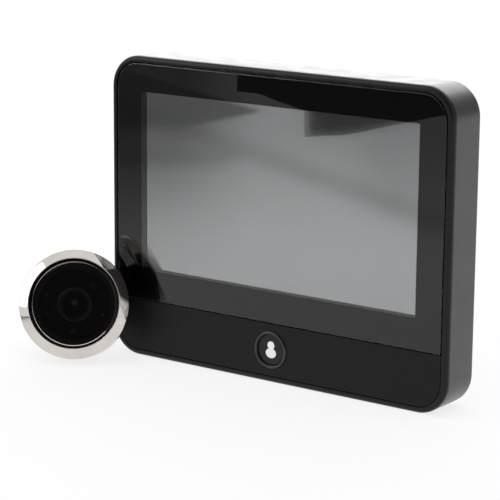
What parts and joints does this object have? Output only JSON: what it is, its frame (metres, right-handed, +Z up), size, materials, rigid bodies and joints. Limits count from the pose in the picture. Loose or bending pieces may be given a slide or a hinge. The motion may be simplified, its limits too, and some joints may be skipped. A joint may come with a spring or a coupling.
{
  "type": "peephole door camera",
  "caption": "Indoor door viewer with a wide screen and one round button, standing upright, with its round camera head for the door lying in front.",
  "frame": {"origin": "centre of the bottom face of the monitor, on the table, halfway through its depth", "axes": "+Z up, the screen faces -Y, +X to the right as seen from the front of the screen"},
  "size_m": [0.1411, 0.0418, 0.0905],
  "materials": {
    "frame_plastic": "satin dark grey plastic",
    "shell_plastic": "satin dark grey plastic, finely textured",
    "strip_plastic": "satin black plastic",
    "cover_glass": "clear polished glass",
    "ink": "printed black border",
    "tape": "black foam tape",
    "screen": "dark display, switched off",
    "panel_glass": "display panel glass",
    "guide": "clear light guide with white film",
    "steel": "stamped steel",
    "screw_steel": "black oxide steel",
    "chrome": "mirror chrome on metal",
    "icon": "white print",
    "board": "green circuit board",
    "chip": "black moulded package",
    "gold_flex": "polyimide film",
    "connector": "ivory connector plastic",
    "cell": "silver pouch foil",
    "white_plastic": "white plastic",
    "cone": "black paper cone",
    "gloss_black": "glossy black",
    "smoked": "smoked clear plastic, glossy",
    "rubber": "dark grey rubber",
    "barrel_metal": "black anodised threaded tube",
    "nut_metal": "nickel plated",
    "lens_glass": "coated lens glass",
    "led": "dark tinted epoxy",
    "sensor_lens": "clear bluish epoxy"
  },
  "bodies": {
    "monitor": {"front_frame": "frame_plastic", "rear_shell": "shell_plastic", "case_screws": "screw_steel", "cover_glass": "cover_glass", "glass_ink": "ink", "glass_tape": "tape", "lower_panel": "strip_plastic", "screen_gasket": "tape", "screen": "screen", "lcd_panel": "panel_glass", "light_guide": "guide", "backlight": "steel", "display_flex": "gold_flex", "display_connector": "connector", "button_ring": "strip_plastic", "button_switch": "chip", "main_board": "board", "board_screws": "steel", "shield_can": "steel", "processor": "chip", "usb_socket": "steel", "card_socket": "steel", "power_switch": "steel", "lead_socket": "connector", "speaker": "chip", "speaker_cone": "cone", "speaker_gasket": "tape", "microphone": "steel", "battery": "cell", "battery_pad": "tape", "wifi_antenna": "gold_flex"},
    "view_button_body": {"view_button": "strip_plastic", "button_icon": "icon", "switch_plunger": "white_plastic"},
    "power_knob": {"switch_knob": "chip"},
    "card": {"memory_card": "chip"},
    "plate": {"door_plate": "steel"},
    "camera_head": {"bezel_ring": "chrome", "head_housing": "gloss_black", "rubber_washer": "rubber", "mount_barrel": "barrel_metal", "head_board": "board", "lens_bezel": "gloss_black", "lens_barrel": "gloss_black", "lens_glass": "lens_glass", "image_sensor": "chip", "sensor_board": "board", "light_sensor": "sensor_lens", "infrared_leds": "led", "bell_switch": "chip"},
    "bell_button": {"bell_disc": "smoked", "bell_mark": "icon"},
    "washer": {"steel_washer": "steel"},
    "nut": {"clamp_nut": "nut_metal"}
  },
  "joints": [
    {"name": "view_press", "type": "slide", "parent": "monitor", "child": "view_button_body", "axis": [0, 1, 0], "range_m": [0, 0.0005], "stiffness_N_per_m": 2500, "springref_m": -0.0002},
    {"name": "power_slide", "type": "slide", "parent": "monitor", "child": "power_knob", "axis": [0, 0, 1], "range_m": [0, 0.002]},
    {"name": "card_slide", "type": "slide", "parent": "monitor", "child": "card", "axis": [-1, 0, 0], "range_m": [0, 0.013]},
    {"name": "plate_slide", "type": "slide", "parent": "monitor", "child": "plate", "axis": [0, 0, 1], "range_m": [-0.0046, 0]},
    {"name": "head_lift", "type": "slide", "parent": "monitor", "child": "camera_head", "axis": [0, -0.6, 0.8], "range_m": [0, 0.03]},
    {"name": "bell_press", "type": "slide", "parent": "camera_head", "child": "bell_button", "axis": [-0.5429, 0.7668, -0.3426], "range_m": [0, 0.00045], "stiffness_N_per_m": 2500, "springref_m": -0.0002},
    {"name": "washer_slide", "type": "slide", "parent": "camera_head", "child": "washer", "axis": [-0.5429, 0.7668, -0.3426], "range_m": [0, 0.012]},
    {"name": "nut_spin", "type": "hinge", "parent": "washer", "child": "nut", "pos_m": [-0.06362, -0.01846, 0.0149], "axis": [-0.5429, 0.7668, -0.3426], "range_deg": [0, 4320]}
  ],
  "couplings": [
    {"joint": "nut_spin", "follows": "washer_slide", "rad_per_m": 6283.2}
  ]
}
